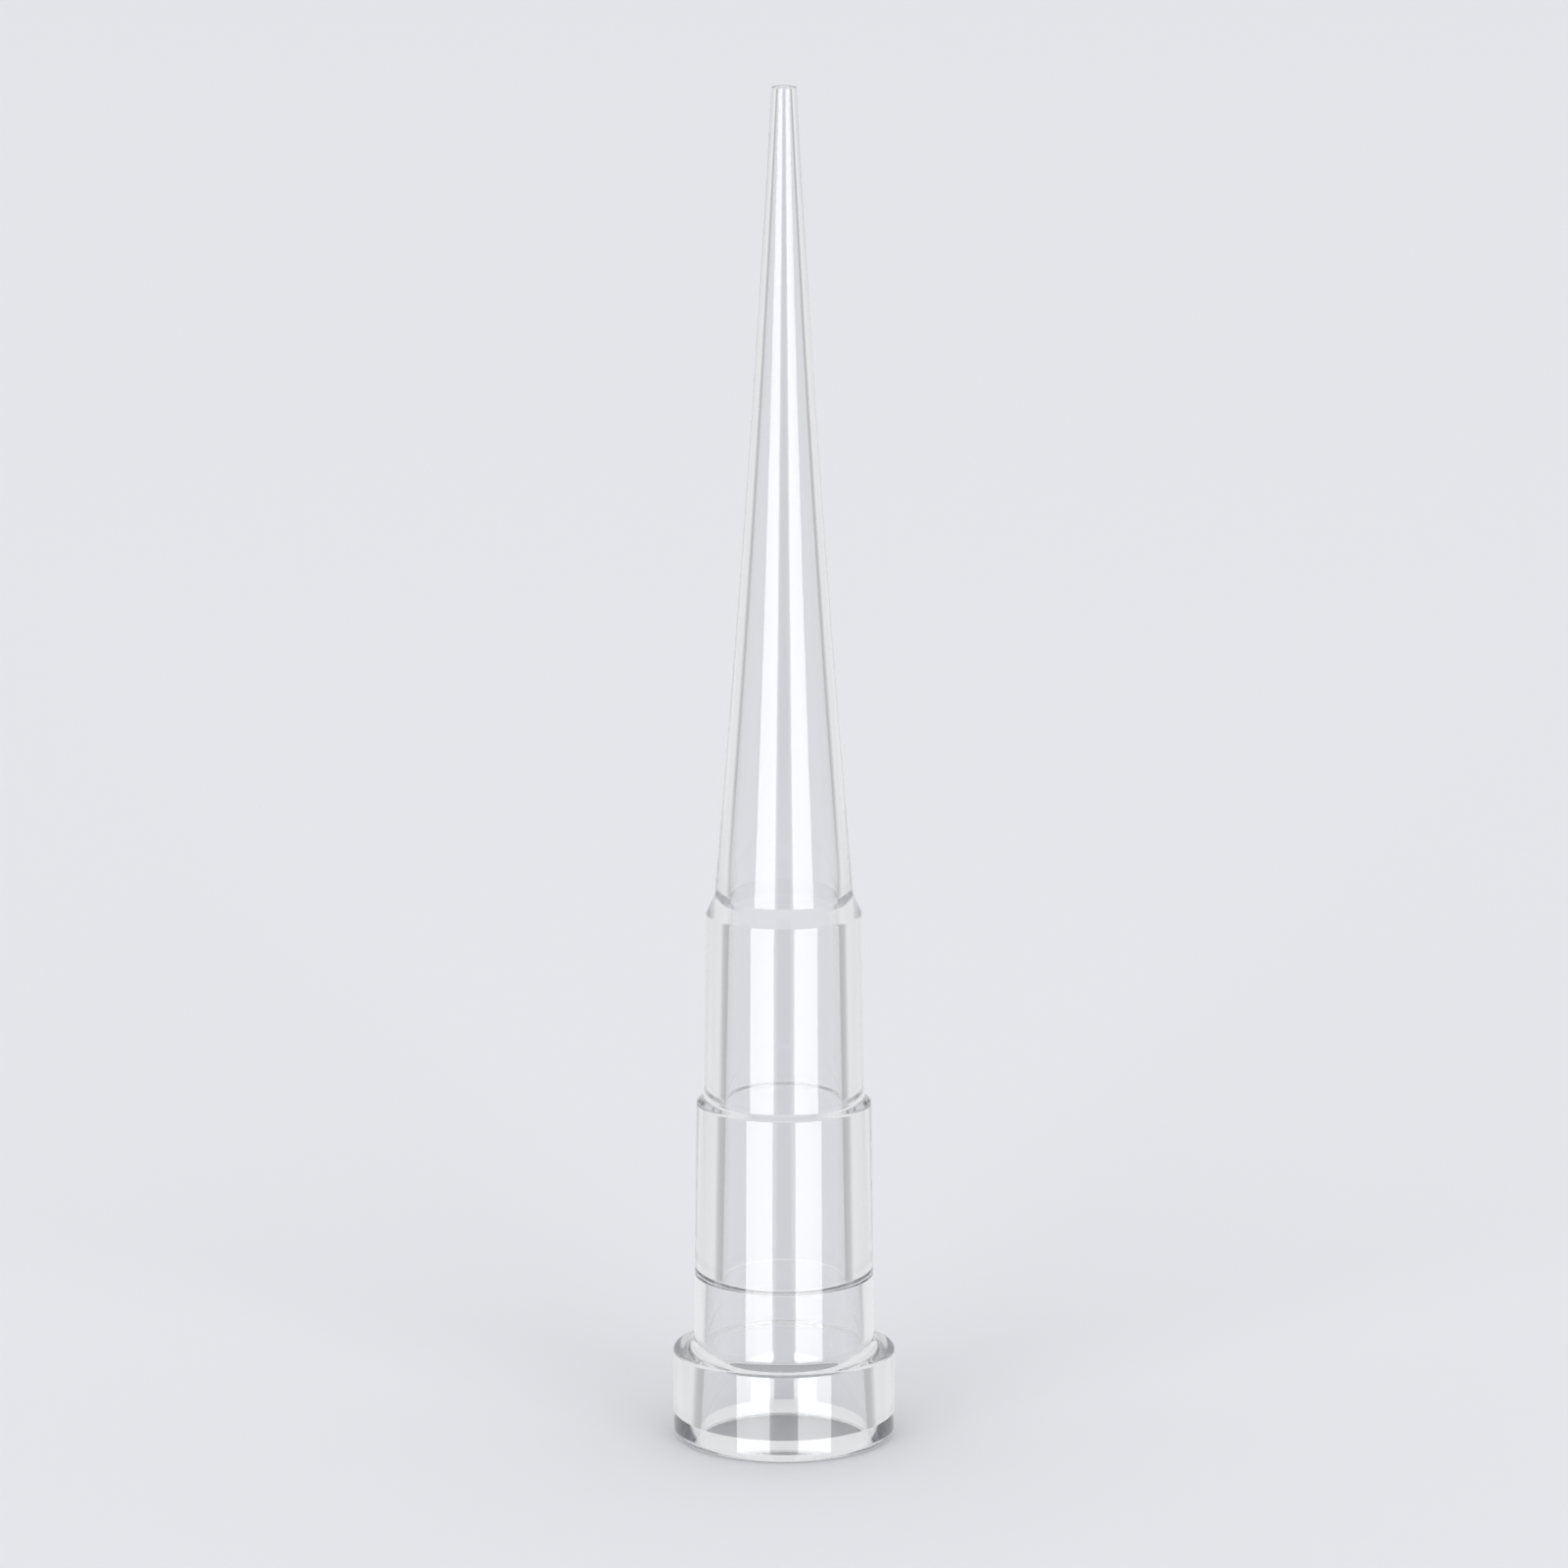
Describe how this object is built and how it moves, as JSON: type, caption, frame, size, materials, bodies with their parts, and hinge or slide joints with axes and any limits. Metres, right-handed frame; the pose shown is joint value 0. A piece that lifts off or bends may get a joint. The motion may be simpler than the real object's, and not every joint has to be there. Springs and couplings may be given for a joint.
{
  "type": "pipette tip",
  "caption": "Clear pipette tip: a tapering tube with a round collar and nose-cone socket at the wide end, stepped shoulders on the body and a long taper to a fine open point.",
  "frame": {"origin": "centre of the mouth rim, on the plane that the tip stands on", "axes": "+Z runs along the tip's axis from the mouth rim to the point; the tip is round, so X and Y are alike"},
  "size_m": [0.0084, 0.0084, 0.051],
  "materials": {
    "clear_polypropylene": "glossy, clear natural polypropylene"
  },
  "bodies": {
    "root": {"pipette_tip": "clear_polypropylene"}
  },
  "joints": []
}
